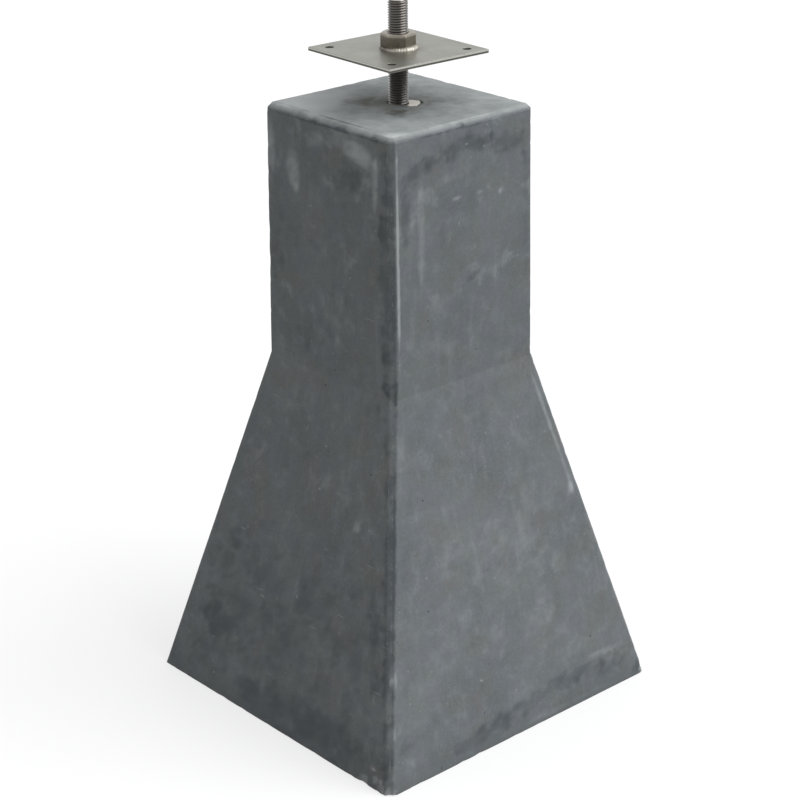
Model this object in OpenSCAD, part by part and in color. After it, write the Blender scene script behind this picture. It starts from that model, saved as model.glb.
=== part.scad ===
// Concrete pier block for a deck: a square head on a flared foot, cast in one piece
// round a threaded steel socket. A threaded rod is screwed into the socket, and a
// square plate with a nut welded on it is turned up or down the rod to level the deck.
// Millimetres. The origin is the middle of the underside, and +Z points up.

/* [Concrete block] */
// Width of the square head at its top, face to face
head_w = 152; // [110:1:220]
// Draft of the head: how far each face leans out from the top to the waist
head_draft = 2; // [0:0.5:6]
// Height of the head, above the flared foot
head_h = 210; // [120:1:400]
// Width of the square foot where it meets the ground
foot_w = 300; // [240:1:400]
// Height over which the foot flares out
foot_h = 295; // [150:1:450]
// Leg of the chamfer round the top of the head
top_chamfer = 4; // [1:0.5:10]
// Leg of the chamfer down each of the four corners
corner_chamfer = 5; // [1:0.5:15]

/* [Threaded rod] */
// Diameter of the rod over its thread
rod_d = 16; // [10:1:24]
// Length of the rod that stands above the concrete
rod_out = 82; // [76:1:140]
// Length of the rod inside the socket
rod_in = 68; // [40:1:110]
// Leg of the chamfer on each end of the rod
rod_chamfer = 1.5; // [0.5:0.1:3]

/* [Cast-in socket] */
// Wall of the socket round its thread
socket_wall = 4; // [3:0.5:8]
// Metal under the threaded hole
socket_floor = 8; // [4:0.5:15]
// Free depth under the end of the rod
socket_spare = 4; // [1:0.5:20]
// How far the rim stands out from the tube
rim_w = 5; // [2:0.5:12]
// Thickness of the rim
rim_t = 3; // [2:0.5:6]
// How far the anchoring foot stands out from the tube
anchor_w = 8; // [3:0.5:15]
// Thickness of the anchoring foot
anchor_t = 6; // [3:0.5:12]

/* [Levelling plate] */
// Side of the square plate
plate_w = 100; // [80:1:140]
// Thickness of the plate
plate_t = 3; // [2:0.5:8]
// Height of the plate's underside above the concrete
plate_gap = 40.5; // [5:0.5:55]
// Turn of the plate from square with the head, in degrees
plate_turn = -2; // [-45:1:45]
// Diameter of the four screw holes
screw_hole_d = 7; // [4:0.5:12]
// Distance from the screw holes to the plate's edges
screw_inset = 12; // [8:0.5:25]
// Clearance on each side of the rod where it passes the plate
plate_clear = 0.5; // [0.1:0.1:2]

/* [Nut and weld] */
// Height of the nut
nut_h = 13; // [8:0.1:18]
// Metal between the nut's thread and its flats
nut_wall = 4; // [3:0.5:8]
// Radius of the round weld bead at the nut's base
bead_r = 3.5; // [2:0.1:6]

/* [Fits] */
// Clearance on each side of the rod in its threads
thread_clear = 0.05; // [0.01:0.01:0.1]

/* [Hidden] */
$fn = 96;

// The waist is where the head meets the foot
waist_w = head_w + 2 * head_draft;

// Levels above the ground
block_h = foot_h + head_h;
plate_z = block_h + plate_gap;
nut_z = plate_z + plate_t;

// Radii of what shares the rod's axis
rod_r = rod_d / 2;
thread_r = rod_r + thread_clear;
tube_r = thread_r + socket_wall;
rim_r = tube_r + rim_w;
anchor_r = tube_r + anchor_w;

// Depths below the top of the concrete
hole_depth = rod_in + socket_spare;
socket_len = hole_depth + socket_floor;

// The nut: corners, the round face left by its chamfer, and the mouths of its thread
nut_af = 2 * thread_r + 2 * nut_wall;
nut_corner_r = nut_af / 2 / cos(30);
nut_face_r = nut_af / 2 * 0.96;
nut_rise = (nut_corner_r - nut_face_r) * tan(30);
thread_mouth = 0.8;

// The bead lies in the corner between the nut's flats and the plate
bead_ring_r = nut_af / 2 + 0.3 * bead_r;

// A cutter runs past the face that it opens by this much
past = 1;

// Outline of the block where it is cut through two opposite faces or two opposite corners,
// which stand at these distances from the axis at the top, at the waist and on the ground
function block_outline(half_head, half_waist, half_foot) = [
    [-half_foot, 0],
    [half_foot, 0],
    [half_waist, foot_h],
    [half_head, block_h - top_chamfer],
    [half_head - top_chamfer, block_h],
    [top_chamfer - half_head, block_h],
    [-half_head, block_h - top_chamfer],
    [-half_waist, foot_h]
];

// Distance from the axis to a face, and to a corner chamfer, of a square of the given width
function face_out(width) = width / 2;
function corner_out(width) = (width - corner_chamfer) / sqrt(2);

// The outline through two opposite faces pulled out sideways into a bar
module face_bar() {
    rotate([90, 0, 0])
    linear_extrude(height = 2 * foot_w, center = true)
    polygon(block_outline(face_out(head_w), face_out(waist_w), face_out(foot_w)));
}

// The same for the outline through two opposite corners, with the bar on the diagonal
module corner_bar() {
    rotate([90, 0, 45])
    linear_extrude(height = 2 * foot_w, center = true)
    polygon(block_outline(corner_out(head_w), corner_out(waist_w), corner_out(foot_w)));
}

// Two crossed bars give the four faces, and two more on the diagonals cut the corner
// chamfers, which run straight down the head and on down the edges of the foot
module block_form() {
    intersection() {
        face_bar();
        rotate([0, 0, 90]) face_bar();
        corner_bar();
        rotate([0, 0, 90]) corner_bar();
    }
}

// Outside of the socket: rim, tube and anchoring foot, with the top of the rim at zero
module socket_outside(above = 0) {
    rotate_extrude()
    polygon([
        [0, above],
        [rim_r, above],
        [rim_r, -rim_t],
        [tube_r, -rim_t],
        [tube_r, anchor_t - socket_len],
        [anchor_r, anchor_t - socket_len],
        [anchor_r, -socket_len],
        [0, -socket_len]
    ]);
}

// A threaded hole down from zero, with a countersunk mouth
module threaded_hole(depth) {
    rotate_extrude()
    polygon([
        [0, past],
        [thread_r + thread_mouth + past, past],
        [thread_r, -thread_mouth],
        [thread_r, -depth],
        [0, -depth]
    ]);
}

// The concrete, poured round the socket and flush with its rim
module concrete_block() {
    color([0.38, 0.40, 0.41])
    difference() {
        block_form();
        translate([0, 0, block_h]) socket_outside(past);
    }
}

// Steel socket cast into the head, held down by its wide foot
module threaded_socket() {
    color([0.72, 0.72, 0.70])
    translate([0, 0, block_h])
    difference() {
        socket_outside();
        threaded_hole(hole_depth);
    }
}

// Threaded rod, drawn at the diameter over its thread, with a chamfer on each end
module threaded_rod() {
    color([0.25, 0.24, 0.22])
    translate([0, 0, block_h])
    rotate_extrude()
    polygon([
        [0, -rod_in],
        [rod_r - rod_chamfer, -rod_in],
        [rod_r, rod_chamfer - rod_in],
        [rod_r, rod_out - rod_chamfer],
        [rod_r - rod_chamfer, rod_out],
        [0, rod_out]
    ]);
}

// Flat square plate with four screw holes and a hole for the rod
module levelling_plate() {
    color([0.64, 0.63, 0.60])
    translate([0, 0, plate_z])
    rotate([0, 0, plate_turn])
    linear_extrude(height = plate_t)
    difference() {
        square(plate_w, center = true);
        circle(r = rod_r + plate_clear);
        for (x = [-1, 1], y = [-1, 1])
            translate([x, y] * (plate_w / 2 - screw_inset))
            circle(d = screw_hole_d);
    }
}

// Six flats with both ends rounded off by a 30 degree chamfer
module nut_outside() {
    intersection() {
        cylinder(h = nut_h, r = nut_corner_r, $fn = 6);
        rotate_extrude()
        polygon([
            [0, 0],
            [nut_face_r, 0],
            [nut_corner_r, nut_rise],
            [nut_corner_r, nut_h - nut_rise],
            [nut_face_r, nut_h],
            [0, nut_h]
        ]);
    }
}

// Places a child on the plate, with a flat of the nut facing each way along a diagonal
module on_plate() {
    translate([0, 0, nut_z])
    rotate([0, 0, plate_turn + 15])
    children();
}

// Nut, threaded right through
module hex_nut() {
    color([0.42, 0.40, 0.37])
    on_plate()
    difference() {
        nut_outside();
        translate([0, 0, nut_h]) threaded_hole(nut_h + past);
        mirror([0, 0, 1]) threaded_hole(past);
    }
}

// Weld bead all round the base of the nut, half a round bar bent into a ring
module weld_bead() {
    color([0.80, 0.79, 0.76])
    on_plate()
    difference() {
        rotate_extrude()
        intersection() {
            translate([bead_ring_r, 0]) circle(r = bead_r);
            square(2 * (bead_ring_r + bead_r));
        }
        nut_outside();
    }
}

concrete_block();
threaded_socket();
threaded_rod();
levelling_plate();
hex_nut();
weld_bead();
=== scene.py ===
"""Looks of a cast concrete pier block with a levelling plate on a threaded rod.

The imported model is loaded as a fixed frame, and every piece is built round it in metres.
"""

import math

import bmesh
import bpy
import numpy as np
from mathutils import Matrix, Vector, noise


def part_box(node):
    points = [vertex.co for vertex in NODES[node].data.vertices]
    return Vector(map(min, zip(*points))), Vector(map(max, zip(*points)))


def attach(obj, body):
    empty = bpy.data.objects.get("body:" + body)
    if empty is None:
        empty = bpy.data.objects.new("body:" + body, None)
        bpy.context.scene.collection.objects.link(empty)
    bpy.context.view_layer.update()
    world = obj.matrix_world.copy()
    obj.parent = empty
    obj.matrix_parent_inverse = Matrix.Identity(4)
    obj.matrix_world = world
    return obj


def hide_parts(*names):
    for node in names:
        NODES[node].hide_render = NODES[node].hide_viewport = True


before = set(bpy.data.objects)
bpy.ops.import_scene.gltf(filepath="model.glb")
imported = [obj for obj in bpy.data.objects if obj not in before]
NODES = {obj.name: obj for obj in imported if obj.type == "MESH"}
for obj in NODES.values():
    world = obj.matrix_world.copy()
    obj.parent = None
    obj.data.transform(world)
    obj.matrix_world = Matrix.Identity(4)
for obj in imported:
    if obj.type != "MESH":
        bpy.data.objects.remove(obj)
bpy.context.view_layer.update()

bl_info = {
    "name": "Concrete Pier Block",
    "version": (1, 0, 0),
    "blender": (4, 5, 0),
    "location": "View3D > Sidebar > Pier Block",
    "description": "Builds the finished surfaces of a concrete pier block round its packed model",
    "category": "Object",
}

MM = 0.001


# Colours

def linear(level):
    """One sRGB channel, from 0 to 1, as a linear value."""
    return level / 12.92 if level <= 0.04045 else ((level + 0.055) / 1.055) ** 2.4


def colour(code):
    """An sRGB hex value as a linear colour with full alpha."""
    channels = [int(code[i:i + 2], 16) / 255 for i in (1, 3, 5)]
    return (*[linear(c) for c in channels], 1.0)


# Sizes taken from the frame

def ring_levels(node, outside):
    """The outline of a square node at each of its levels, lowest first.

    Each entry is the height, the distance to the faces, and the largest sum of the two
    distances, which says where the corner chamfers cut."""
    found = {}
    for vertex in NODES[node].data.vertices:
        x, y, z = vertex.co
        if max(abs(x), abs(y)) > outside:
            face, corner = found.get(round(z, 5), (0.0, 0.0))
            found[round(z, 5)] = (max(face, abs(x), abs(y)), max(corner, abs(x) + abs(y)))
    return [(z, face, corner) for z, (face, corner) in sorted(found.items())]


ROD_LOW, ROD_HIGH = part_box("threaded_rod")
PLATE_LOW, PLATE_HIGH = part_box("levelling_plate")
BEAD_LOW, BEAD_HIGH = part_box("weld_bead")
NUT_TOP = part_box("hex_nut")[1].z
SOCKET_R = max(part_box("threaded_socket")[1].xy)
ROD_R = max(ROD_HIGH.xy)
# The block's levels: the ground, the waist, the foot of the top chamfer and the top
LEVELS = ring_levels("concrete_block", 2 * SOCKET_R)
GROUND_Z, WAIST_Z, CHAMFER_Z, TOP_Z = [level[0] for level in LEVELS]


# How the settings are shown
LENGTH = {"subtype": "DISTANCE", "unit": "LENGTH"}
ANGLE = {"subtype": "ANGLE", "unit": "ROTATION"}
TONE = {"size": 4, "min": 0.0, "max": 1.0, "subtype": "COLOR"}


class PierBlockSettings(bpy.types.PropertyGroup):
    """Sizes and colours of the finish."""

    hollow_depth: bpy.props.FloatProperty(
        name="Unevenness", description="How far the cast faces wave in and out",
        default=0.3 * MM, min=0.0, max=2 * MM, **LENGTH)
    wear_depth: bpy.props.FloatProperty(
        name="Edge wear", description="How deep the edges are worn back",
        default=0.55 * MM, min=0.0, max=4 * MM, **LENGTH)
    wear_reach: bpy.props.FloatProperty(
        name="Wear reach", description="How far from an edge the wear goes",
        default=2.6 * MM, min=1 * MM, max=15 * MM, **LENGTH)
    film_height: bpy.props.FloatProperty(
        name="Cement film", description="Thickness of the cement smeared over the socket's rim",
        default=0.3 * MM, min=0.1 * MM, max=0.4 * MM, **LENGTH)
    thread_pitch: bpy.props.FloatProperty(
        name="Thread pitch", description="Rise of the thread in one turn",
        default=2 * MM, min=1 * MM, max=3 * MM, **LENGTH)
    thread_depth: bpy.props.FloatProperty(
        name="Thread depth", description="Depth of the thread from crest to root",
        default=0.92 * MM, min=0.3 * MM, max=2 * MM, **LENGTH)
    rod_chamfer: bpy.props.FloatProperty(
        name="Rod chamfer", description="Leg of the chamfer on the rod's ends",
        default=1.5 * MM, min=0.2 * MM, max=3 * MM, **LENGTH)
    steel_edge: bpy.props.FloatProperty(
        name="Steel edge", description="Width of the rounding on the plate's and the nut's edges",
        default=0.35 * MM, min=0.05 * MM, max=1 * MM, **LENGTH)
    ripple_count: bpy.props.IntProperty(
        name="Weld ripples", description="Ripples round the weld",
        default=44, min=6, max=80)
    concrete_colour: bpy.props.FloatVectorProperty(
        name="Concrete", description="Main colour of the anthracite concrete",
        default=colour("#5b6061"), **TONE)
    bloom_colour: bpy.props.FloatVectorProperty(
        name="Lime bloom", description="Colour of the pale lime patches and worn edges",
        default=colour("#8a8f91"), **TONE)
    plate_colour: bpy.props.FloatVectorProperty(
        name="Plate", description="Colour of the zinc-plated sheet",
        default=colour("#92928b"), **TONE)
    camera_place: bpy.props.FloatVectorProperty(
        name="Camera", description="Where the camera stands",
        default=(-1.098, -1.228, 0.9356), size=3, subtype="TRANSLATION", unit="LENGTH")
    camera_heading: bpy.props.FloatProperty(
        name="Heading", description="Direction in which the camera looks, from +X to +Y",
        default=math.radians(48.23), **ANGLE)
    camera_drop: bpy.props.FloatProperty(
        name="Drop", description="How far the camera looks down",
        default=math.radians(22.55), **ANGLE)
    camera_roll: bpy.props.FloatProperty(
        name="Roll", description="Turn of the picture about the line of sight",
        default=math.radians(0.49), **ANGLE)
    camera_lens: bpy.props.FloatProperty(
        name="Lens", description="Focal length on a sensor 36 mm wide",
        default=96.5, min=20.0, max=300.0)


# Nodes

def put(tree, kind, inputs=None, **settings):
    """Adds a node with its settings and input values or links, and returns it."""
    made = tree.nodes.new(kind)
    for name, value in settings.items():
        setattr(made, name, value)
    for name, value in (inputs or {}).items():
        if isinstance(value, bpy.types.NodeSocket):
            tree.links.new(value, made.inputs[name])
        else:
            made.inputs[name].default_value = value
    return made


def per(size):
    """Texture scale of a pattern whose cells are this many millimetres wide."""
    return 1 / (size * MM)


def empty_tree(owner):
    """The node tree of a material or a world, with nothing in it."""
    owner.use_nodes = True
    owner.node_tree.nodes.clear()
    return owner.node_tree


def new_material(name):
    """A new material, its node tree and the shader that feeds its output."""
    material = bpy.data.materials.new(name)
    tree = empty_tree(material)
    shader = put(tree, "ShaderNodeBsdfPrincipled")
    put(tree, "ShaderNodeOutputMaterial", {"Surface": shader.outputs["BSDF"]})
    return material, tree, shader


def object_place(tree):
    """Object coordinates, whole and as their X, Y and Z."""
    place = put(tree, "ShaderNodeTexCoord").outputs["Object"]
    return place, put(tree, "ShaderNodeSeparateXYZ", {"Vector": place}).outputs


def calc(tree, operation, first, second=0.0, third=0.0, clamp=False):
    """The result of one step of arithmetic on numbers or sockets."""
    return put(tree, "ShaderNodeMath", {0: first, 1: second, 2: third},
               operation=operation, use_clamp=clamp).outputs[0]


def off_axis(tree, axes):
    """Distance from the rod's axis."""
    return calc(tree, "SQRT", calc(tree, "ADD", calc(tree, "POWER", axes["X"], 2.0),
                                   calc(tree, "POWER", axes["Y"], 2.0)))


def step(tree, value, start, end):
    """Rises smoothly from 0 to 1 as the value goes from start to end, up or down."""
    return put(tree, "ShaderNodeMapRange",
               {"Value": value, "From Min": start, "From Max": end},
               interpolation_type="SMOOTHSTEP").outputs["Result"]


def blend(tree, share, below, above):
    """Mixes two colours, which may be given as hex codes, by a share."""
    below, above = (colour(c) if isinstance(c, str) else c for c in (below, above))
    return put(tree, "ShaderNodeMix", {0: share, 6: below, 7: above},
               data_type="RGBA").outputs[2]


def layer(tree, tone, share, amount, shade):
    """Lays a colour over a tone, as far as a share times an amount."""
    return blend(tree, calc(tree, "MULTIPLY", share, amount), tone, shade)


def cloud(tree, place, size, detail=4.0, rough=0.55, bend=0.0):
    """A noise pattern of the given grain in millimetres, from 0 to 1."""
    return put(tree, "ShaderNodeTexNoise",
               {"Vector": place, "Scale": per(size), "Detail": detail, "Roughness": rough,
                "Distortion": bend}).outputs["Fac"]


def stretched(tree, place, turn, stretch):
    """Object coordinates turned and then stretched, for streaks."""
    return put(tree, "ShaderNodeMapping",
               {"Vector": place, "Rotation": turn, "Scale": stretch}).outputs["Vector"]


# Meshes

# Points closer together than these are one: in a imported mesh, and where a made mesh closes
SAME_POINT = 0.001 * MM
SEAM = 0.002 * MM
# Faces this near to one plane are one flat face
FLAT = math.radians(0.5)
# Edges that turn more than this are rounded, and rounded faces that turn more stay sharp
EDGE_TURN = math.radians(25)
SHARP_TURN = math.radians(15)
ROUNDING_STEPS = 2
SOCKET_EDGE = 0.2 * MM


def mesh_object(name, mesh, material, body, replaced=()):
    """An object at the origin that rides on a body and stands for the named nodes."""
    made = bpy.data.objects.new(name, mesh)
    bpy.context.scene.collection.objects.link(made)
    mesh.materials.clear()
    mesh.materials.append(material)
    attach(made, body)
    if replaced:
        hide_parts(*replaced)
    return made


def merged_copy(node):
    """A clean copy of a node's mesh, with its triangles joined and its flat faces whole."""
    shape = bmesh.new()
    shape.from_mesh(NODES[node].data)
    bmesh.ops.remove_doubles(shape, verts=shape.verts, dist=SAME_POINT)
    bmesh.ops.dissolve_limit(shape, angle_limit=FLAT, verts=shape.verts, edges=shape.edges)
    mesh = bpy.data.meshes.new(node + "_clean")
    shape.to_mesh(mesh)
    shape.free()
    return mesh


def baked(source):
    """The evaluated object as a plain mesh, after which the source is removed."""
    graph = bpy.context.evaluated_depsgraph_get()
    mesh = bpy.data.meshes.new_from_object(source.evaluated_get(graph))
    bpy.data.objects.remove(source)
    return mesh


def softened(node, width):
    """A node's mesh with its sharp edges rounded and its flat faces left flat."""
    made = bpy.data.objects.new(node + "_work", merged_copy(node))
    bpy.context.scene.collection.objects.link(made)
    rounding = made.modifiers.new("Rounding", "BEVEL")
    rounding.width = width
    rounding.segments = ROUNDING_STEPS
    rounding.limit_method = "ANGLE"
    rounding.angle_limit = EDGE_TURN
    rounding.use_clamp_overlap = True
    mesh = baked(made)
    mesh.shade_smooth()
    mesh.set_sharp_from_angle(angle=SHARP_TURN)
    return mesh


# The concrete casting

def shares(count, crowd):
    """Values from -1 to 1, closer together near both ends."""
    return [math.sin(math.pi / 2 * s) * crowd + s * (1 - crowd)
            for s in np.linspace(-1, 1, count)]


# Points along a face and across a corner chamfer, and how much they crowd to a face's ends
FACE_STEPS = 62
FACE_CROWD = 0.82
CHAMFER_STEPS = 4
# Rings up the foot, the head and the top chamfer, and how much they crowd to both ends
FOOT_STEPS, HEAD_STEPS, CHAMFER_RINGS = (96, 0.7), (74, 0.7), (5, 0.0)
# Rings over the underside and over the top, and how they crowd towards the edge
BOTTOM_RINGS, BOTTOM_POWER = 14, 0.6
TOP_RINGS, TOP_POWER = 26, 0.8
# The smallest ring of the underside, as a share of the foot
BOTTOM_MIDDLE = 0.02
# A step in the socket's width, rather than a slant, is wider than this
POCKET_STEP = 0.5 * MM


def ring(face, corner):
    """Points round a square with cut corners: the four faces, each followed by its chamfer."""
    run = corner - face
    side = [(face, run * s) for s in shares(FACE_STEPS, FACE_CROWD)]
    for s in np.linspace(0, 1, CHAMFER_STEPS + 1)[1:-1]:
        side.append((face + (run - face) * s, run + (face - run) * s))
    points = []
    for quarter in range(4):
        c, s = round(math.cos(quarter * math.pi / 2)), round(math.sin(quarter * math.pi / 2))
        points += [(x * c - y * s, x * s + y * c) for x, y in side]
    return np.array(points)


def circle_like(points, radius):
    """The same number of points on a circle, each in its own direction from the axis."""
    angles = np.arctan2(points[:, 1], points[:, 0])
    return radius * np.stack([np.cos(angles), np.sin(angles)], axis=1)


def raised(points, height):
    """Plane points lifted to a height."""
    return np.column_stack([points, np.full(len(points), height)])


def casting_rings():
    """Rings of points from the middle of the underside up and in to the socket's pocket."""
    rings = []
    foot_z, foot_face, foot_corner = LEVELS[0]
    foot = ring(foot_face, foot_corner)
    for s in np.linspace(BOTTOM_MIDDLE, 1, BOTTOM_RINGS) ** BOTTOM_POWER:
        rings.append(raised(foot * s, foot_z))
    stretches = (FOOT_STEPS, HEAD_STEPS, CHAMFER_RINGS)
    for low, high, (steps, crowd) in zip(LEVELS, LEVELS[1:], stretches):
        for s in shares(steps, crowd)[1:]:
            t = (s + 1) / 2
            z, face, corner = (a + (b - a) * t for a, b in zip(low, high))
            rings.append(raised(ring(face, corner), z))
    top_z, top_face, top_corner = LEVELS[-1]
    top = ring(top_face, top_corner)
    for s in np.linspace(0, 1, TOP_RINGS)[1:]:
        t = 1 - (1 - s) ** TOP_POWER
        rings.append(raised(top * (1 - t) + circle_like(top, SOCKET_R) * t, top_z))
    return rings, top


def pocket_rings(top):
    """The pocket that the socket fills, from its mouth down to its floor."""
    walls = {}
    for vertex in NODES["threaded_socket"].data.vertices:
        x, y, z = vertex.co
        walls.setdefault(round(z, 5), set()).add(round(math.hypot(x, y), 5))
    depths = sorted(walls, reverse=True)
    outline = []
    for z in depths:
        outer = max(walls[z])
        if outline and abs(outline[-1][0] - outer) > POCKET_STEP and z != depths[-1]:
            outline.append((outline[-1][0], z))
        outline.append((outer, z))
    return [raised(circle_like(top, r), z) for r, z in outline[1:]]


def edge_gaps(points):
    """Distance from each point to the nearest edge of the casting."""
    heights, faces, corners = np.array(LEVELS).T
    face = np.interp(points[:, 2], heights, faces)
    corner = np.interp(points[:, 2], heights, corners)
    across = np.abs(points[:, :2])
    from_axis = across.max(axis=1)
    along = across.min(axis=1)
    run = corner - face
    upright = np.abs(along - run) + np.maximum(0, face - from_axis)
    on_chamfer = across.sum(axis=1) > corner - 0.01 * MM
    gaps = np.where(on_chamfer, np.minimum(along - run, from_axis - along).clip(0), upright)
    # The waist is a hollow bend, so nothing wears it
    for level_z in (GROUND_Z, CHAMFER_Z, TOP_Z):
        edge_face = np.interp(level_z, heights, faces)
        gaps = np.minimum(gaps, np.hypot(points[:, 2] - level_z,
                                         np.maximum(0, edge_face - from_axis)))
    return gaps


# Chips knocked out of the edges: middle, radius and depth in millimetres
CHIPS = (
    ((-147, -148, 2), 6, 2.0),
    ((-149, -118, 1), 6, 1.6),
    ((-149, -131, 8), 4, 1.4),
    ((-148, -139, 3), 4, 1.8),
    ((148, -148, 3), 7, 1.6),
    ((-127, -129, 88), 4, 1.0),
    ((-139, -141, 42), 3, 0.8),
    ((-4, -74, 502), 2.2, 2.0),
    ((-127, 125, 93), 4, 1.0),
    ((-60, 148, 2), 9, 3.0),
    ((148, 60, 2), 7, 2.4),
    ((146, 147, 4), 9, 3.4),
    ((74, 74, 470), 4, 1.4),
)


def grain(point, size, seed):
    """Smooth noise from -1 to 1 at a point, with the given grain in millimetres."""
    return noise.noise(Vector(point) / (size * MM) + Vector((seed, 2.3 * seed, -seed)))


# Patches seen on the two front sides and on the top. Each has its middle and half size along
# and up the side in millimetres, its turn in degrees, and its tone: pale above 0, dark below.
# The first number runs along Y on the left side, and along X on the right side and the top.
PATCHES = {
    "left": (
        (40, 458, 11, 25, -6, 0.75), (36, 443, 4, 4, 0, 0.4), (-36, 487, 24, 10, 12, 0.8),
        # The dark strips at -70 and -110, down the front corner, are painted shade on its chamfer
        (-58, 457, 4, 30, 0, 0.5), (-30, 462, 19, 15, 20, -0.5), (-70, 400, 9, 120, 0, -0.6),
        (-110, 147, 7, 160, -13.7, -0.5), (-62, 442, 8, 20, 0, -0.4),
        (0, 500.3, 90, 1.7, 0, -0.8), (64, 390, 9, 44, 0, -0.3), (68, 464, 8, 34, 0, 0.5),
        (0, 30, 220, 130, 0, -0.42),
        (14, 418, 16, 10, 0, 0.25), (10, 488, 20, 8, 0, 0.25), (-20, 345, 22, 12, 0, 0.2),
        (20, 330, 30, 14, 0, -0.25), (3, 192, 9, 6, 20, 0.35), (-62, 190, 5, 5, 0, 0.45),
        (-71, 55, 7, 20, 0, 0.35), (-114, 66, 3, 5, 0, 0.8), (122, 93, 7, 2, 0, 0.8),
        (50, 120, 34, 20, 30, -0.25),
        (-30, 120, 26, 30, 0, -0.25), (80, 60, 40, 12, 0, -0.3), (117, 100, 16, 2, 0, 0.6),
        (-40, 20, 100, 16, 0, -0.3), (-127, 15, 5, 3, 0, 1.0), (-137, 8, 3, 4, 0, 1.0),
        (0, 503, 76, 2, 0, -0.25), (-100, 120, 10, 60, -13.7, -0.3), (90, 100, 14, 60, 16, -0.2),
    ),
    "right": (
        (-52, 474, 22, 10, 24, -0.65), (-5, 486, 34, 9, 6, -0.65), (46, 482, 30, 11, -6, -0.55),
        (-14, 464, 30, 7, 12, 0.3),
        (-63, 440, 5, 38, 0, -0.6), (-46, 428, 5, 66, 0, 0.45), (-9, 446, 6, 2.6, 4, 0.7),
        # The dark strips at -74.5 and -110.8, down the front corner, are painted shade on its
        # chamfer
        (16, 446, 5, 1.6, 4, 0.5), (38, 442, 3.6, 3.4, 0, 0.6), (-74.5, 400, 2.6, 120, 0, -0.7),
        (-110.8, 147, 2.2, 165, -13.7, -0.8), (0, 280, 90, 26, 0, -0.22), (5, 377, 13, 3, 24, -0.5),
        (-70.4, 410, 1.8, 110, 0, 0.9), (-24, 420, 4, 50, 0, -0.3), (-10, 400, 3, 30, 0, 0.2),
        (80, 244, 3, 66, 14, 0.55), (94, 178, 3, 5, 0, 0.6), (102, 33, 30, 2.4, 0, 0.5),
        (148, 10, 14, 14, 0, -0.7), (30, 22, 80, 9, 4, -0.55), (-80, 250, 8, 40, -14, 0.2),
        (110, 20, 40, 8, 6, -0.5), (-99, 140, 7, 150, -13.7, -0.3), (-118, 16, 20, 9, 0, 0.2),
        (-45, 14, 46, 8, 3, -0.5),
        (40, 5, 70, 3, 0, 0.3), (-96, 40, 20, 8, 20, -0.35),
        (-30, 330, 24, 14, 0, 0.2), (0, 130, 150, 110, 0, 0.14), (66, 420, 5, 60, 0, -0.3),
        (0, 500.2, 74, 1.2, 0, -0.6), (-4, 502, 2.4, 1.6, 0, -1.6), (-124, 88, 3, 9, -14, 0.7),
        (-134, 45, 2, 8, -14, 0.4), (-143, 15, 2.5, 6, -14, 0.5),
    ),
    "top": (
        # The dark patches at (-19, -21) and (-15, 18) are painted shade under the plate, and the
        # pale ones at (-42, 50) and (60, -36) are painted light
        (-70, -70, 14, 14, 45, 0.9), (-69, 0, 1.6, 78, 0, -0.7), (-19, -21, 11, 14, -45, -0.75),
        (-15, 18, 25, 15, -45, -0.85), (34, -14, 18, 12, -45, -0.3), (30, -40, 26, 8, -30, 0.3),
        (-45, -30, 26, 8, -45, 0.3),
        (45, 20, 20, 20, 0, -0.2), (0, -73, 70, 3, 0, 0.6), (-42, 50, 38, 34, 0, 0.95),
        (60, -36, 20, 30, 0, 0.3),
    ),
}


# How strongly the left side and the rest are mottled
LEFT_STAINS = 0.5
OTHER_STAINS = 0.3
# A patch's edge is frayed over this many millimetres
FRAY = 14
# A patch reaches this far, in half sizes from its middle, and fades this steeply
PATCH_REACH = 1.15
PATCH_FADE = 1.4
# A chip's bite is felt this far, in radii from its middle
CHIP_REACH = 1.4


def patch_tones(points, ragged, stains):
    """How pale (above 0) or dark the stains and patches make each point."""
    x, y, z = points.T
    above = z > TOP_Z - 0.5 * MM
    sides = {"left": (~above & (-x > np.abs(y)), y, z),
             "right": (~above & (-y >= np.abs(x)), x, z),
             "top": (above, x, y)}
    tones = np.where(sides["left"][0], LEFT_STAINS, OTHER_STAINS) * stains
    for side, patches in PATCHES.items():
        here, along, up = sides[side]
        for middle, height, wide, high, turn, tone in patches:
            c, s = math.cos(math.radians(turn)), math.sin(math.radians(turn))
            right, rise = along / MM - middle, up / MM - height
            gaps = np.hypot((right * c + rise * s) / wide, (rise * c - right * s) / high)
            frayed = gaps + ragged * min(1, FRAY / min(wide, high))
            tones += here * tone * np.clip((PATCH_REACH - frayed) * PATCH_FADE, 0, 1)
    return np.clip(tones, -1, 1)


def weathered(points, normals, settings):
    """Moves the surface in: waves on the faces, wear along the edges, and the chips.

    Also returns each point's distance to the nearest edge, how chipped it is, and its tone."""
    edge_gap = edge_gaps(points)
    near = np.clip(1 - edge_gap / settings.wear_reach, 0, 1)
    chipped, depth, ragged, stains = np.zeros((4, len(points)))
    for i, point in enumerate(points):
        depth[i] = settings.hollow_depth * (0.5 + 0.5 * grain(point, 55, 3))
        ragged[i] = 0.45 * grain(point, 13, 31) + 0.35 * grain(point, 5, 37)
        stains[i] = 0.55 * grain(point, 30, 41) + 1.3 * ragged[i]
        if near[i] > 0:
            gnawed = max(0.0, grain(point, 9, 7) + 0.5 * grain(point, 3.5, 11) - 0.05)
            depth[i] += settings.wear_depth * near[i] * (0.25 + 1.3 * gnawed)
    for middle, radius, deep in CHIPS:
        gaps = np.linalg.norm(points - np.array(middle) * MM, axis=1) / (radius * MM)
        for i in np.nonzero(gaps < CHIP_REACH)[0]:
            bite = max(0.0, 1 - (gaps[i] + 0.35 * grain(points[i], 2.5, 17)) ** 2)
            depth[i] = max(depth[i], deep * MM * bite)
            chipped[i] = max(chipped[i], min(1.0, 2.5 * bite))
    tones = patch_tones(points, ragged, stains)
    return points - normals * depth[:, None], edge_gap, chipped, tones


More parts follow.
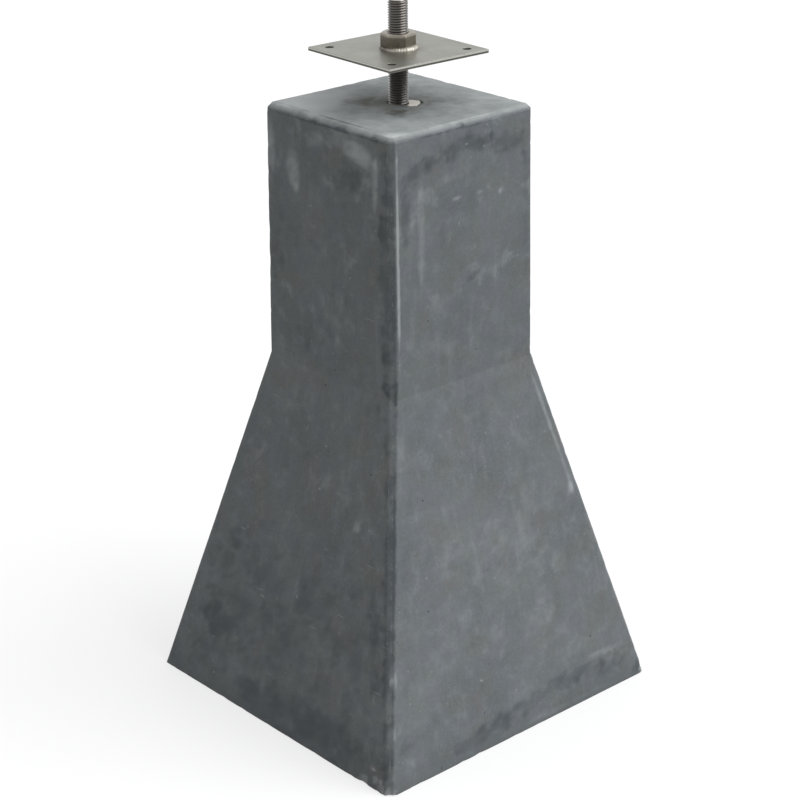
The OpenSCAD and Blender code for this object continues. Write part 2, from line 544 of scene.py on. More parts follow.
def tube_faces(rows, columns):
    """Faces between the rings, and the fans that close both ends."""
    faces = []
    for row in range(rows - 1):
        for column in range(columns):
            following = (column + 1) % columns
            faces.append((row * columns + column, row * columns + following,
                          (row + 1) * columns + following, (row + 1) * columns + column))
    first, last = rows * columns, rows * columns + 1
    for column in range(columns):
        following = (column + 1) % columns
        faces.append((first, following, column))
        faces.append((last, (rows - 1) * columns + column, (rows - 1) * columns + following))
    return faces


# What the mesh tells its material about each point: the distance to the nearest edge, how
# chipped it is, and how pale or dark
MARKS = ("edge_gap", "chip", "tone")


def casting_mesh(settings):
    """The whole casting as one closed mesh, with its edges and chips marked for the finish."""
    rings, top = casting_rings()
    outside = len(rings)
    rings += pocket_rings(top)
    columns = len(top)
    points = np.vstack(rings)
    ends = np.array([(0, 0, rings[0][0][2]), (0, 0, rings[-1][0][2])])
    faces = tube_faces(len(rings), columns)
    mesh = bpy.data.meshes.new("concrete_casting")
    mesh.from_pydata(np.vstack([points, ends]).tolist(), [], faces)
    normals = np.zeros(len(mesh.vertices) * 3)
    mesh.vertex_normals.foreach_get("vector", normals)
    normals = normals.reshape(-1, 3)
    skin = (outside - 1) * columns
    moved, *marks = weathered(points[:skin], normals[:skin], settings)
    moved[:, 2] = np.clip(moved[:, 2], GROUND_Z, TOP_Z)
    points[:skin] = moved
    mesh.vertices.foreach_set("co", np.vstack([points, ends]).ravel())
    for name, values in zip(MARKS, marks):
        filled = np.zeros(len(mesh.vertices))
        filled[:skin] = values
        mesh.attributes.new(name, "FLOAT", "POINT").data.foreach_set("value", filled)
    mesh.shade_smooth()
    mesh.update()
    return mesh


# Anthracite concrete, poured in a smooth steel mould: a dense, faintly glossy skin in cloudy
# greys, with lime bloom, small air holes and edges worn pale
def concrete_material(settings):
    material, tree, shader = new_material("smooth_cast_anthracite_concrete")
    place, axes = object_place(tree)
    edge_gap, chip, patch = [put(tree, "ShaderNodeAttribute", attribute_name=mark).outputs["Fac"]
                             for mark in MARKS]
    main = tuple(settings.concrete_colour)
    pale = tuple(settings.bloom_colour)

    # Cloudy greys, from hand-sized clouds down to blotches of a centimetre
    large = cloud(tree, place, 85, 3.0, 0.5, 0.2)
    bluish = cloud(tree, place, 21, 4.0, 0.6)
    brownish = cloud(tree, place, 38, 5.0, 0.65)
    blotch = cloud(tree, place, 15, 7.0, 0.66, 0.2)
    speck = cloud(tree, place, 2.2, 3.0, 0.6)
    tone = blend(tree, step(tree, large, 0.36, 0.64), "#52585a", main)
    for pattern, start, end, amount, shade in (
            (bluish, 0.42, 0.6, 0.35, "#595b65"),
            (brownish, 0.5, 0.36, 0.4, "#595652"),
            (blotch, 0.47, 0.74, 0.36, "#70767a"),
            (blotch, 0.47, 0.25, 0.42, "#444a4b"),
            (speck, 0.4, 0.75, 0.14, "#818688")):
        tone = layer(tree, tone, step(tree, pattern, start, end), amount, shade)

    # Milky streaks that ran down the mould's walls
    run = cloud(tree, stretched(tree, place, (0, 0, 0), (1, 1, 0.14)), 8, 4.0, 0.5, 0.1)
    tone = layer(tree, tone, step(tree, run, 0.54, 0.8), 0.14, pale)
    tone = layer(tree, tone, step(tree, run, 0.46, 0.24), 0.2, "#464c4d")

    # Lime bloom in the upper half: faint pale islands
    island = cloud(tree, place, 34, 6.0, 0.6, 0.25)
    upper = step(tree, axes["Z"], WAIST_Z - 40 * MM, WAIST_Z + 120 * MM)
    bloom = calc(tree, "MULTIPLY", step(tree, island, 0.55, 0.68), upper)
    tone = layer(tree, tone, bloom, 0.3, pale)

    # The trowelled top is paler, stained brown round the rod and darkened there with painted shade
    # from the plate above
    top = step(tree, axes["Z"], TOP_Z - 4 * MM, TOP_Z - 1 * MM)
    from_axis = off_axis(tree, axes)
    top_tone = blend(tree, step(tree, blotch, 0.3, 0.7), "#757a7a", "#8b8f8f")
    stain = calc(tree, "MULTIPLY_ADD", blotch, 50 * MM, from_axis)
    stain_and_plate_shade = step(tree, stain, 66 * MM, 34 * MM)
    top_tone = layer(tree, top_tone, stain_and_plate_shade, 0.5, "#62635a")
    tone = blend(tree, top, tone, top_tone)

    # Patches: lime where pale, damp and oil from the mould where dark. The dark strips down the
    # front corner's chamfer and the dark patches round the rod on the top are painted shade, and
    # two pale patches on the top are painted light
    fuzz = calc(tree, "MULTIPLY_ADD", blotch, 0.5, -0.25)
    paler = step(tree, calc(tree, "MULTIPLY_ADD", fuzz, 0.8, patch), 0.05, 1.0)
    darker = step(tree, calc(tree, "MULTIPLY_ADD", fuzz, 0.5, patch), -0.05, -1.0)
    tone = blend(tree, paler, tone, blend(tree, top, pale, "#a0a4a4"))
    by_rod = calc(tree, "MULTIPLY", top, step(tree, from_axis, 44 * MM, 22 * MM))
    damp_oil_and_shade = blend(tree, by_rod, "#3a4044", "#4b473b")
    tone = layer(tree, tone, darker, 0.9, damp_oil_and_shade)

    # A darker band over the bottom edge
    rise = calc(tree, "MULTIPLY_ADD", blotch, 34 * MM, axes["Z"])
    tone = layer(tree, tone, step(tree, rise, 44 * MM, 16 * MM), 0.35, "#44484b")

    # Worn edges and fresh chips are pale
    near = step(tree, edge_gap, settings.wear_reach, 0.0)
    ragged = calc(tree, "MULTIPLY_ADD", cloud(tree, place, 6, 5.0, 0.7), 0.9, near)
    worn = calc(tree, "MULTIPLY", step(tree, ragged, 1.4, 1.62), step(tree, near, 0.0, 0.3))
    tone = layer(tree, tone, worn, 0.4, pale)
    tone = layer(tree, tone, chip, 0.4, "#9da1a2")

    # Short pale scratches in two directions
    scratched = 0.0
    for turn in ((0.3, 0.5, 0.9), (1.1, -0.4, 0.3)):
        line = cloud(tree, stretched(tree, place, turn, (1, 0.06, 1)), 1.3, 1.0, 0.4)
        scratched = calc(tree, "MAXIMUM", step(tree, line, 0.73, 0.78), scratched)
    patchy = step(tree, cloud(tree, place, 26, 2.0, 0.5), 0.54, 0.68)
    tone = layer(tree, tone, calc(tree, "MULTIPLY", scratched, patchy), 0.45, "#a5aaac")

    # Flecks of lime, two or three millimetres wide
    fleck = calc(tree, "MULTIPLY", step(tree, cloud(tree, place, 4.6, 2.0, 0.5), 0.7, 0.78),
                 step(tree, island, 0.42, 0.6))
    tone = layer(tree, tone, fleck, 0.4, "#9da1a3")

    # Air holes, one or two millimetres wide and a few centimetres apart, painted dark as the shade
    # inside them
    holes = put(tree, "ShaderNodeTexVoronoi", {"Vector": place, "Scale": per(13)}).outputs
    drawn = put(tree, "ShaderNodeSeparateColor", {"Color": holes["Color"]}).outputs[0]
    pit = calc(tree, "MULTIPLY", step(tree, drawn, 0.78, 0.8),
               step(tree, holes["Distance"], 0.085, 0.045))
    tone = layer(tree, tone, pit, 0.8, "#2c2f31")
    tree.links.new(tone, shader.inputs["Base Color"])

    # The skin is smoothest where the mould was, and open where it is worn
    rough = calc(tree, "MULTIPLY_ADD", blotch, 0.22, 0.62)
    rough = calc(tree, "MULTIPLY_ADD", worn, 0.15, rough, clamp=True)
    tree.links.new(rough, shader.inputs["Roughness"])
    shader.inputs["Specular IOR Level"].default_value = 0.4

    # Sand grain, trowel marks and holes
    sand = cloud(tree, place, 1.1, 4.0, 0.7)
    height = calc(tree, "MULTIPLY_ADD", sand, 0.35, calc(tree, "MULTIPLY", blotch, 0.9))
    height = calc(tree, "MULTIPLY_ADD", pit, -1.6, height)
    height = calc(tree, "MULTIPLY_ADD", calc(tree, "MULTIPLY", sand, chip), 2.0, height)
    bump = put(tree, "ShaderNodeBump", {"Height": height, "Strength": 0.5,
                                        "Distance": 0.5 * MM})
    tree.links.new(bump.outputs["Normal"], shader.inputs["Normal"])
    return material


# The cement film left on the socket's rim draws back in a smooth bay towards the front right,
# where a crescent of the metal stays bare
BARE_FROM = math.radians(240)
BARE_TO = math.radians(368)
# How sharply the bay opens: 1 is a sine
BAY_POWER = 0.8
FILM_STEPS = 240
FILM_RINGS = 9
# Where the film starts beside the rod, stops short of the rim's edge, and ends on the concrete
FILM_OFF_ROD = 0.35 * MM
FILM_SHORT = 0.9 * MM
FILM_PAST = 3 * MM
# How far its inner edge wanders, how deep it sits, and how much deeper its outer edge runs
FILM_WANDER = 0.35 * MM
FILM_BED = 0.05 * MM
FILM_SUNK = 0.25 * MM


def film_mesh(settings):
    """A thin ragged ring of cement over the rim, drawn back where the metal shows."""
    by_rod = ROD_R + FILM_OFF_ROD
    drawn_back = SOCKET_R - FILM_SHORT
    outer = SOCKET_R + FILM_PAST
    shape = bmesh.new()
    loops = []
    for i in range(FILM_STEPS):
        angle = 2 * math.pi * i / FILM_STEPS
        bay = min(1, (angle - BARE_FROM) % (2 * math.pi) / (BARE_TO - BARE_FROM))
        bay = max(0, math.sin(math.pi * bay)) ** BAY_POWER
        edge = Vector((math.cos(angle), math.sin(angle), 0)) * by_rod
        inner = by_rod + (drawn_back - by_rod) * bay + bay * FILM_WANDER * grain(edge, 2.4, 23)
        over, under = [], []
        for j in range(FILM_RINGS + 1):
            t = j / FILM_RINGS
            r = inner + (outer - inner) * t
            x, y = math.cos(angle) * r, math.sin(angle) * r
            # Full height a little way in from the rod, then thinning all the way out
            thin = min(1, 7 * t + 0.15, 1.3 * (1 - t) + 0.05)
            high = settings.film_height * thin * (0.7 + 0.3 * grain((x, y, TOP_Z), 5, 29))
            sunk = FILM_SUNK if j == FILM_RINGS else 0
            over.append(shape.verts.new((x, y, TOP_Z + high - sunk)))
            under.append(shape.verts.new((x, y, TOP_Z - FILM_BED - sunk)))
        loops.append(over + under[::-1])
    for low, high in zip(loops, loops[1:] + loops[:1]):
        for a, b, c, d in zip(low, high, high[1:] + high[:1], low[1:] + low[:1]):
            shape.faces.new((a, b, c, d))
    bmesh.ops.recalc_face_normals(shape, faces=shape.faces)
    mesh = bpy.data.meshes.new("cement_film")
    shape.to_mesh(mesh)
    shape.free()
    mesh.shade_smooth()
    return mesh


class PIER_OT_concrete_casting(bpy.types.Operator):
    """Builds the concrete casting and the cement film on the socket's rim"""

    bl_idname = "pier.concrete_casting"
    bl_label = "Concrete casting"

    def execute(self, context):
        settings = context.scene.pier_block
        material = concrete_material(settings)
        mesh_object("concrete_casting", casting_mesh(settings), material, "block",
                    ["concrete_block"])
        mesh_object("cement_film", film_mesh(settings), material, "block")
        return {"FINISHED"}


# Steel

def steel_material(name, base, rough, stain, stain_share, grain_size, streak, bump_depth):
    """Steel with a blotchy plating, fine rolling marks and darker stains.

    Returns the material, its tree and shader, Object coordinates in both forms, and the tone
    so far, which the caller may lay more on and link again."""
    material, tree, shader = new_material(name)
    place, axes = object_place(tree)
    blotch = cloud(tree, place, grain_size, 5.0, 0.6, 0.5)
    rolled = cloud(tree, stretched(tree, place, (0, 0, 0.2), (1, streak, 1)), 0.7, 3.0, 0.6)
    tone = layer(tree, base, step(tree, blotch, 0.42, 0.7), stain_share, stain)
    tone = layer(tree, tone, step(tree, rolled, 0.45, 0.75), 0.22, "#c9c7c0")
    tree.links.new(tone, shader.inputs["Base Color"])
    shader.inputs["Metallic"].default_value = 1.0
    roughness = calc(tree, "MULTIPLY_ADD", blotch, 0.2, rough, clamp=True)
    tree.links.new(roughness, shader.inputs["Roughness"])
    height = calc(tree, "MULTIPLY_ADD", blotch, 0.8, rolled)
    bump = put(tree, "ShaderNodeBump", {"Height": height, "Strength": 0.35,
                                        "Distance": bump_depth})
    tree.links.new(bump.outputs["Normal"], shader.inputs["Normal"])
    return material, tree, shader, place, axes, tone


# Bright turned steel: silvery, with a trace of dried cement in its marks
def socket_material():
    return steel_material("turned_socket_steel", "#c6c3b9", 0.28, "#8b887d", 0.5, 4, 0.3,
                          0.08 * MM)[0]


# Rolled thread, zinc-plated and oiled: nearly black in the roots and bright on the crests,
# and painted blackest under the plate, as the plate's shade
def rod_material(settings):
    material, tree, shader = new_material("oiled_rolled_thread")
    place, axes = object_place(tree)
    crest = step(tree, off_axis(tree, axes), ROD_R - settings.thread_depth, ROD_R - 0.1 * MM)
    blotch = cloud(tree, place, 5, 4.0, 0.6)
    tone = blend(tree, crest, "#25221f", "#534e47")
    tone = layer(tree, tone, step(tree, blotch, 0.5, 0.75), 0.4, "#37312a")
    # Painted shade below the plate
    shade_under_plate = step(tree, axes["Z"], PLATE_LOW.z + 2 * MM, PLATE_LOW.z - 8 * MM)
    tone = layer(tree, tone, shade_under_plate, 0.65, "#151412")
    sawn = step(tree, axes["Z"], ROD_HIGH.z - 0.4 * MM, ROD_HIGH.z - 0.1 * MM)
    tone = blend(tree, sawn, tone, "#b9b4ab")
    tree.links.new(tone, shader.inputs["Base Color"])
    tree.links.new(calc(tree, "MULTIPLY_ADD", blotch, 0.25, 0.2), shader.inputs["Roughness"])
    shader.inputs["Metallic"].default_value = 1.0
    shader.inputs["Coat Weight"].default_value = 1.0
    shader.inputs["Coat Roughness"].default_value = 0.2
    return material


# Zinc-plated sheet: a dull warm grey with rolling marks, smoked darker round the weld with a
# painted reflection of the nut in it, and cut on the shears, which leave the edge bright above and
# torn dull below
def plate_material(settings):
    material, tree, shader, place, axes, tone = steel_material(
        "zinc_plated_sheet", tuple(settings.plate_colour), 0.3, "#8b897f", 0.4, 22, 0.05,
        0.05 * MM)
    # Weld smoke and a painted reflection of the nut, darker near the nut
    soot_and_nut_reflection = calc(tree, "MULTIPLY_ADD", cloud(tree, place, 9, 4.0, 0.6), 12 * MM,
                     off_axis(tree, axes))
    tone = layer(tree, tone, step(tree, soot_and_nut_reflection, 34 * MM, 20 * MM), 0.35, "#6a655b")

    # What lies between the rounded edges, in the screw holes too, is cut metal, painted dark; in
    # the screw holes the dark is painted shade
    low, high = PLATE_LOW.z + 0.3 * MM, PLATE_HIGH.z - 0.4 * MM
    cut_and_hole_shade = calc(tree, "MULTIPLY", calc(tree, "GREATER_THAN", axes["Z"], low),
               calc(tree, "LESS_THAN", axes["Z"], high))
    tone = layer(tree, tone, cut_and_hole_shade, 0.9, "#454540")

    # Only the outside was sheared, and it lies further out than the screw holes
    aside = calc(tree, "MAXIMUM", calc(tree, "ABSOLUTE", axes["X"]),
                 calc(tree, "ABSOLUTE", axes["Y"]))
    outside = calc(tree, "MULTIPLY", step(tree, aside, 45 * MM, 47 * MM), cut_and_hole_shade)
    burnished = step(tree, axes["Z"], high - 1.3 * MM, high - 0.7 * MM)
    bright = calc(tree, "MULTIPLY", outside, burnished)
    tone = layer(tree, tone, bright, 0.9, "#b9b9b2")
    tree.links.new(tone, shader.inputs["Base Color"])
    return material


# Zinc-plated nut: brown-grey, stained by the weld's heat, with a painted highlight round its top
def nut_material():
    material, tree, shader, _, axes, tone = steel_material(
        "heat_stained_nut", "#686257", 0.25, "#4f483e", 0.7, 6, 0.2, 0.06 * MM)
    # Painted highlight round the nut's top
    top_highlight = step(tree, axes["Z"], NUT_TOP - 3.2 * MM, NUT_TOP - 1.8 * MM)
    tone = layer(tree, tone, top_highlight, 0.8, "#a59f96")
    tree.links.new(tone, shader.inputs["Base Color"])
    return material


# Weld metal, as laid: silver ripples, with painted light that makes them bright towards the front
# and dull behind
def weld_material():
    material, tree, shader, _, axes, tone = steel_material(
        "rippled_weld_metal", "#a5a198", 0.4, "#7b7468", 0.6, 4, 1.0, 0.06 * MM)
    toward_highlight = calc(tree, "ADD", calc(tree, "MULTIPLY", axes["X"], math.cos(WELD_HIGHLIGHT)),
                   calc(tree, "MULTIPLY", axes["Y"], math.sin(WELD_HIGHLIGHT)))
    tone = layer(tree, tone, step(tree, toward_highlight, 11 * MM, 4 * MM), 0.85, "#625e56")
    tree.links.new(tone, shader.inputs["Base Color"])
    return material


# What the thread and the weld share

def new_tree(name, labels):
    """A tree with the named numbers as inputs and a mesh as output, and its input sockets."""
    tree = bpy.data.node_groups.new(name, "GeometryNodeTree")
    for label in labels:
        tree.interface.new_socket(label, in_out="INPUT", socket_type="NodeSocketFloat")
    tree.interface.new_socket("Geometry", in_out="OUTPUT", socket_type="NodeSocketGeometry")
    return tree, put(tree, "NodeGroupInput").outputs


def unit_grid(tree, across, along):
    """A grid of points, and how far along its two sides each lies, from 0 to 1."""
    grid = put(tree, "GeometryNodeMeshGrid", {"Size X": 1.0, "Size Y": 1.0,
                                              "Vertices X": across, "Vertices Y": along})
    spot = put(tree, "ShaderNodeSeparateXYZ",
               {"Vector": put(tree, "GeometryNodeInputPosition").outputs[0]}).outputs
    shares_along = [calc(tree, "ADD", spot[axis], 0.5) for axis in "XY"]
    return grid.outputs["Mesh"], *shares_along


def round_axis(tree, radius, angle, height):
    """The point at a radius and an angle round the rod's axis, at a height."""
    return put(tree, "ShaderNodeCombineXYZ",
               {"X": calc(tree, "MULTIPLY", radius, calc(tree, "COSINE", angle)),
                "Y": calc(tree, "MULTIPLY", radius, calc(tree, "SINE", angle)),
                "Z": height}).outputs[0]


def closed_output(tree, grid, place, material):
    """Moves a grid's points into place, closes its seams and sends it out in its material."""
    moved = put(tree, "GeometryNodeSetPosition", {"Geometry": grid, "Position": place})
    joined = put(tree, "GeometryNodeMergeByDistance", {"Geometry": moved.outputs[0],
                                                       "Distance": SEAM})
    real = put(tree, "GeometryNodeRealizeInstances", {"Geometry": joined.outputs[0]})
    finished = put(tree, "GeometryNodeSetMaterial", {"Geometry": real.outputs[0],
                                                     "Material": material})
    put(tree, "NodeGroupOutput", {"Geometry": finished.outputs[0]})


def grown(name, tree, values):
    """The mesh that a tree makes from its named inputs."""
    holder = bpy.data.objects.new(name + "_work", bpy.data.meshes.new(name))
    bpy.context.scene.collection.objects.link(holder)
    modifier = holder.modifiers.new("Grow", "NODES")
    modifier.node_group = tree
    sockets = {item.name: item.identifier for item in tree.interface.items_tree
               if item.in_out == "INPUT"}
    for label, value in values.items():
        modifier[sockets[label]] = value
    mesh = baked(holder)
    mesh.name = name
    return mesh


def outward(mesh, sharp):
    """Faces turned outwards, smooth but for edges sharper than the given angle."""
    shape = bmesh.new()
    shape.from_mesh(mesh)
    bmesh.ops.remove_doubles(shape, verts=shape.verts, dist=SEAM)
    bmesh.ops.dissolve_degenerate(shape, edges=shape.edges, dist=SAME_POINT)
    bmesh.ops.recalc_face_normals(shape, faces=shape.faces)
    shape.to_mesh(mesh)
    shape.free()
    mesh.shade_smooth()
    mesh.set_sharp_from_angle(angle=sharp)
    return mesh


# The threaded rod

TURN_STEPS = 48
# Each turn has four rows: the root's two ends and the crest's two ends
ROWS_PER_TURN = 4
# Height of a flank and of the crest, as shares of the pitch
FLANK = 0.265
CREST = 0.25
# Turns past the rod's ends, which are cut off there
SPARE_TURNS = 4
THREAD_SHARP = math.radians(85)


def thread_tree(around, rows, material):
    """A helical thread as rows of points that climb one pitch in each turn."""
    tree, given = new_tree("rolled_thread",
                           ("Radius", "Depth", "Pitch", "Bottom", "Top", "Chamfer"))
    grid, share, up = unit_grid(tree, around, rows)
    row = calc(tree, "ROUND", calc(tree, "MULTIPLY", up, float(rows - 1)))
    whole = calc(tree, "FLOOR", calc(tree, "DIVIDE", calc(tree, "ADD", row, 0.25),
                                     float(ROWS_PER_TURN)))
    part = calc(tree, "SUBTRACT", row, calc(tree, "MULTIPLY", whole, float(ROWS_PER_TURN)))

    # The rows climb the lower flank, the crest and the upper flank
    past = [calc(tree, "GREATER_THAN", part, k + 0.5) for k in range(ROWS_PER_TURN - 1)]
    rise = calc(tree, "ADD", calc(tree, "MULTIPLY", past[0], FLANK),
                calc(tree, "MULTIPLY", past[1], CREST))
    rise = calc(tree, "ADD", rise, calc(tree, "MULTIPLY", past[2], FLANK))
    turns = calc(tree, "ADD", calc(tree, "ADD", whole, rise),
                 calc(tree, "SUBTRACT", share, SPARE_TURNS / 2))
    height = calc(tree, "MULTIPLY_ADD", turns, given["Pitch"], given["Bottom"])
    height = calc(tree, "MAXIMUM", calc(tree, "MINIMUM", height, given["Top"]), given["Bottom"])

    # Full radius on the crest, less in the root and within the chamfers of both ends
    crest = calc(tree, "SUBTRACT", past[0], past[2])
    root = calc(tree, "SUBTRACT", given["Radius"], given["Depth"])
    radius = calc(tree, "MULTIPLY_ADD", crest, given["Depth"], root)
    from_end = calc(tree, "MINIMUM", calc(tree, "SUBTRACT", height, given["Bottom"]),
                    calc(tree, "SUBTRACT", given["Top"], height))
    cone = calc(tree, "ADD", from_end, calc(tree, "SUBTRACT", given["Radius"], given["Chamfer"]))
    radius = calc(tree, "MINIMUM", radius, cone)

    # The first and the last row close the ends on the axis
    kept = calc(tree, "MULTIPLY", calc(tree, "GREATER_THAN", row, 0.5),
                calc(tree, "LESS_THAN", row, rows - 1.5))
    radius = calc(tree, "MULTIPLY", radius, kept)
    angle = calc(tree, "MULTIPLY", share, 2 * math.pi)
    closed_output(tree, grid, round_axis(tree, radius, angle, height), material)
    return tree


class PIER_OT_threaded_rod(bpy.types.Operator):
    """Builds the threaded rod with its rolled thread"""

    bl_idname = "pier.threaded_rod"
    bl_label = "Threaded rod"

    def execute(self, context):
        settings = context.scene.pier_block
        material = rod_material(settings)
        turns = math.ceil((ROD_HIGH.z - ROD_LOW.z) / settings.thread_pitch) + SPARE_TURNS
        tree = thread_tree(TURN_STEPS + 1, ROWS_PER_TURN * turns + 1, material)
        mesh = grown("threaded_stud", tree, {
            "Radius": ROD_R, "Depth": settings.thread_depth, "Pitch": settings.thread_pitch,
            "Bottom": ROD_LOW.z, "Top": ROD_HIGH.z, "Chamfer": settings.rod_chamfer})
        mesh_object("threaded_stud", outward(mesh, THREAD_SHARP), material, "block",
                    ["threaded_rod"])
        return {"FINISHED"}


class PIER_OT_cast_in_socket(bpy.types.Operator):
    """Gives the cast-in socket its turned finish"""

    bl_idname = "pier.cast_in_socket"
    bl_label = "Cast-in socket"

    def execute(self, context):
        mesh_object("socket_sleeve", softened("threaded_socket", SOCKET_EDGE),
                    socket_material(), "block", ["threaded_socket"])
        return {"FINISHED"}


class PIER_OT_levelling_plate(bpy.types.Operator):
    """Builds the levelling plate with slightly rounded edges"""

    bl_idname = "pier.levelling_plate"
    bl_label = "Levelling plate"

    def execute(self, context):
        settings = context.scene.pier_block
        mesh_object("plate_sheet", softened("levelling_plate", settings.steel_edge),
                    plate_material(settings), "plate", ["levelling_plate"])
        return {"FINISHED"}


class PIER_OT_hex_nut(bpy.types.Operator):
    """Builds the hexagon nut with slightly rounded edges"""

    bl_idname = "pier.hex_nut"
    bl_label = "Hexagon nut"

    def execute(self, context):
        settings = context.scene.pier_block
        mesh_object("nut_body", softened("hex_nut", settings.steel_edge),
                    nut_material(), "plate", ["hex_nut"])
        return {"FINISHED"}


# The weld

WELD_AROUND = 288
WELD_ACROSS = 18
# Where the weld is thickest and where its painted highlight lies, as seen from above
WELD_FULLEST = math.radians(285)
WELD_HIGHLIGHT = math.radians(258)
# How deep the weld's underside reaches into the plate
WELD_SUNK = 0.5 * MM
# The bead's size as a share of the largest, and how much the ripples, the lumps and the
# fullest side change it
WELD_SIZE, WELD_RIPPLE, WELD_LUMP, WELD_FULLER, WELD_LARGEST = 0.66, 0.03, 0.3, 0.26, 0.98
# How far round the bead the ripples lean, and the lumps' seed and number
WELD_LEAN, WELD_SEED, WELD_LUMPS = 1.3, 4.7, 2.6
WELD_SHARP = math.radians(60)


def weld_tree(material):
    """A rippled bead bent into a ring, with lumps that never repeat."""
    tree, given = new_tree("weld_ripples", ("Ring radius", "Bead radius", "Height", "Ripples",
                                            "Sunk", "Fullest"))
    grid, round_nut, round_bead = unit_grid(tree, WELD_AROUND + 1, WELD_ACROSS + 1)
    angle = calc(tree, "MULTIPLY", round_nut, 2 * math.pi)
    turn = calc(tree, "MULTIPLY", round_bead, 2 * math.pi)

    # Ripples lean round the bead, and lumps come from noise read along a circle
    lean = calc(tree, "MULTIPLY", calc(tree, "COSINE", turn), WELD_LEAN)
    ripple = calc(tree, "SINE", calc(tree, "MULTIPLY_ADD", angle, given["Ripples"], lean))
    circle = round_axis(tree, 1.0, angle, WELD_SEED)
    wander = put(tree, "ShaderNodeTexNoise", {"Vector": circle, "Scale": WELD_LUMPS,
                                              "Detail": 2.0}).outputs["Fac"]
    filled = calc(tree, "COSINE", calc(tree, "SUBTRACT", angle, given["Fullest"]))
    size = calc(tree, "MULTIPLY_ADD", ripple, WELD_RIPPLE, WELD_SIZE)
    size = calc(tree, "MULTIPLY_ADD", calc(tree, "SUBTRACT", wander, 0.5), WELD_LUMP, size)
    size = calc(tree, "MULTIPLY_ADD", filled, WELD_FULLER, size)
    bead = calc(tree, "MULTIPLY", given["Bead radius"],
                calc(tree, "MINIMUM", size, WELD_LARGEST))
    out = calc(tree, "MULTIPLY_ADD", bead, calc(tree, "COSINE", turn), given["Ring radius"])
    up = calc(tree, "MULTIPLY_ADD", bead, calc(tree, "SINE", turn), given["Height"])
    up = calc(tree, "MAXIMUM", up, calc(tree, "SUBTRACT", given["Height"], given["Sunk"]))
    closed_output(tree, grid, round_axis(tree, out, angle, up), material)
    return tree


class PIER_OT_weld_bead(bpy.types.Operator):
    """Builds the rippled weld between the nut and the plate"""

    bl_idname = "pier.weld_bead"
    bl_label = "Weld bead"

    def execute(self, context):
        settings = context.scene.pier_block
        material = weld_material()
        height = BEAD_HIGH.z - BEAD_LOW.z
        mesh = grown("weld_seam", weld_tree(material), {
            "Ring radius": BEAD_HIGH.x - height, "Bead radius": height,
            "Height": BEAD_LOW.z, "Ripples": float(settings.ripple_count),
            "Sunk": WELD_SUNK, "Fullest": WELD_FULLEST})
        mesh_object("weld_seam", outward(mesh, WELD_SHARP), material, "plate",
                    ["weld_bead"])
        return {"FINISHED"}


# Camera, floor and light

# A wide soft lamp from the right, very slightly blue
SUN_FROM = Vector((0.453, -0.644, 0.616))
SUN_STRENGTH = 2.74
SUN_COLOUR = (0.972, 0.98, 1.0)
SUN_SPREAD = math.radians(60)
# The sky's strength at the horizon, and how much it rises to the zenith
SKY_LOW = 0.1
SKY_RISE = 1.2
FLOOR_SIZE = 12.0
# The floor lies a hair under the block, so that the two don't share a plane
FLOOR_DROP = 0.2 * MM
# Share of the paper's own glow in what the camera sees of it
FLOOR_GLOW = 0.6
SENSOR_MM = 36
VIEW_END = 50


def white_to_eye(tree, lit, seen):
    """Shows one shader to the camera and to gloss and glass, and another to the rest."""
    rays = put(tree, "ShaderNodeLightPath").outputs
    direct = calc(tree, "MAXIMUM", rays["Is Camera Ray"],
                  calc(tree, "MAXIMUM", rays["Is Glossy Ray"], rays["Is Transmission Ray"]))
    return put(tree, "ShaderNodeMixShader", {0: direct, 1: lit, 2: seen}).outputs[0]


def sky():
    """A sky that is brightest overhead, and that the camera sees as plain white."""
    world = bpy.data.worlds.new("studio_sky")
    bpy.context.scene.world = world
    tree = empty_tree(world)
    white = colour("#ffffff")
    toward = put(tree, "ShaderNodeTexCoord").outputs["Generated"]
    up = calc(tree, "MAXIMUM", put(tree, "ShaderNodeSeparateXYZ", {"Vector": toward}).outputs["Z"])
    strength = calc(tree, "MULTIPLY_ADD", up, SKY_RISE, SKY_LOW)
    lit = put(tree, "ShaderNodeBackground", {"Color": white, "Strength": strength})
    seen = put(tree, "ShaderNodeBackground", {"Color": white, "Strength": 1.0})
    put(tree, "ShaderNodeOutputWorld",
        {"Surface": white_to_eye(tree, lit.outputs[0], seen.outputs[0])})


def floor_material():
    """Matt white paper, lifted so that it meets the white background."""
    material = bpy.data.materials.new("white_paper")
    tree = empty_tree(material)
    dull = put(tree, "ShaderNodeBsdfDiffuse", {"Color": colour("#aaaaa5")})
    paper = put(tree, "ShaderNodeBsdfDiffuse", {"Color": colour("#e6e6e6")})
    glow = put(tree, "ShaderNodeEmission", {"Color": colour("#ffffff"), "Strength": 1.0})
    lifted = put(tree, "ShaderNodeMixShader", {0: FLOOR_GLOW, 1: paper.outputs[0],
                                               2: glow.outputs[0]})
    put(tree, "ShaderNodeOutputMaterial",
        {"Surface": white_to_eye(tree, dull.outputs[0], lifted.outputs[0])})
    return material


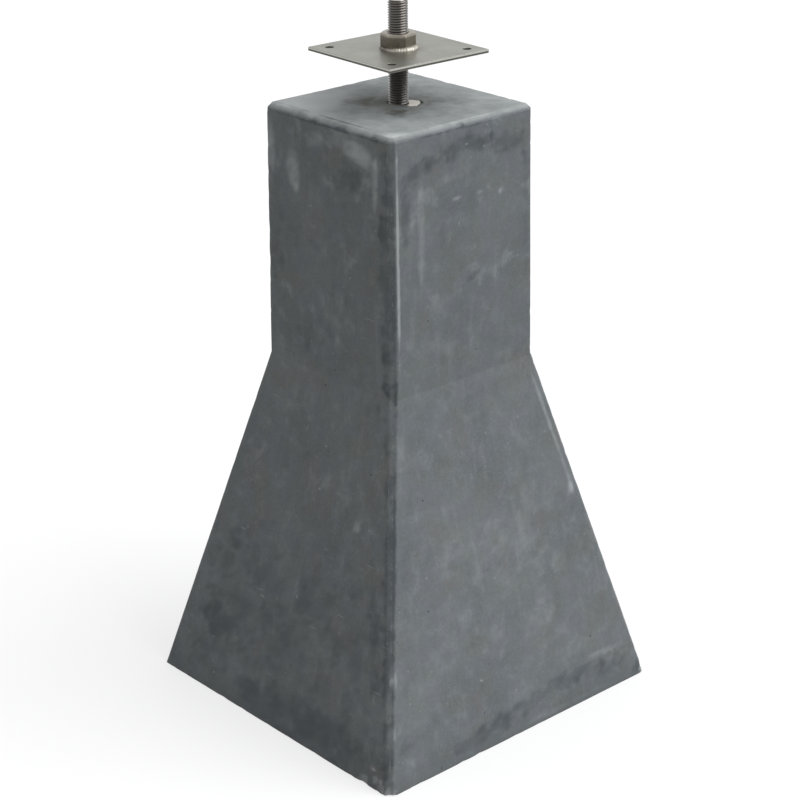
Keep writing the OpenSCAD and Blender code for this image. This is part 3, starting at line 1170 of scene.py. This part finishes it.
class PIER_OT_stage(bpy.types.Operator):
    """Sets the camera, the floor, the sky and the lamp"""

    bl_idname = "pier.stage"
    bl_label = "Camera and stage"

    def execute(self, context):
        settings = context.scene.pier_block
        scene = context.scene
        scene.view_settings.view_transform = "Standard"
        lens = bpy.data.cameras.new("camera")
        lens.sensor_width = SENSOR_MM
        lens.lens = settings.camera_lens
        lens.clip_end = VIEW_END
        camera = bpy.data.objects.new("camera", lens)
        scene.collection.objects.link(camera)
        scene.camera = camera
        heading, drop = settings.camera_heading, settings.camera_drop
        ahead = Vector((math.cos(heading) * math.cos(drop), math.sin(heading) * math.cos(drop),
                        -math.sin(drop)))
        level = Vector((math.sin(heading), -math.cos(heading), 0))
        right = Matrix.Rotation(settings.camera_roll, 3, ahead) @ level
        above = right.cross(ahead)
        pose = Matrix((right, above, -ahead)).transposed().to_4x4()
        pose.translation = settings.camera_place
        camera.matrix_world = pose

        mesh = bpy.data.meshes.new("floor")
        half = FLOOR_SIZE / 2
        corners = [(-half, -half, 0), (half, -half, 0), (half, half, 0), (-half, half, 0)]
        mesh.from_pydata(corners, [], [(0, 1, 2, 3)])
        floor = bpy.data.objects.new("floor", mesh)
        floor.location.z = -FLOOR_DROP
        scene.collection.objects.link(floor)
        mesh.materials.append(floor_material())

        lamp = bpy.data.lights.new("window", "SUN")
        lamp.energy = SUN_STRENGTH
        lamp.color = SUN_COLOUR
        lamp.angle = SUN_SPREAD
        window = bpy.data.objects.new("window", lamp)
        window.rotation_euler = SUN_FROM.to_track_quat("Z", "Y").to_euler()
        scene.collection.objects.link(window)
        sky()
        return {"FINISHED"}


class PIER_PT_panel(bpy.types.Panel):
    """Lists the pier block's builders"""

    bl_idname = "PIER_PT_panel"
    bl_label = "Pier Block"
    bl_space_type = "VIEW_3D"
    bl_region_type = "UI"
    bl_category = "Pier Block"

    def draw(self, context):
        for operator in OPERATORS:
            self.layout.operator(operator.bl_idname)
        for name in PierBlockSettings.__annotations__:
            self.layout.prop(context.scene.pier_block, name)


OPERATORS = (
    PIER_OT_stage,
    PIER_OT_concrete_casting,
    PIER_OT_cast_in_socket,
    PIER_OT_threaded_rod,
    PIER_OT_levelling_plate,
    PIER_OT_hex_nut,
    PIER_OT_weld_bead,
)


def register():
    for listed in (PierBlockSettings, *OPERATORS, PIER_PT_panel):
        bpy.utils.register_class(listed)
    bpy.types.Scene.pier_block = bpy.props.PointerProperty(type=PierBlockSettings)


def unregister():
    del bpy.types.Scene.pier_block
    for listed in reversed((PierBlockSettings, *OPERATORS, PIER_PT_panel)):
        bpy.utils.unregister_class(listed)


def main():
    register()
    bpy.ops.pier.stage()
    bpy.ops.pier.concrete_casting()
    bpy.ops.pier.cast_in_socket()
    bpy.ops.pier.threaded_rod()
    bpy.ops.pier.levelling_plate()
    bpy.ops.pier.hex_nut()
    bpy.ops.pier.weld_bead()
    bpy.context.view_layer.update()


if __name__ == "__main__":
    main()
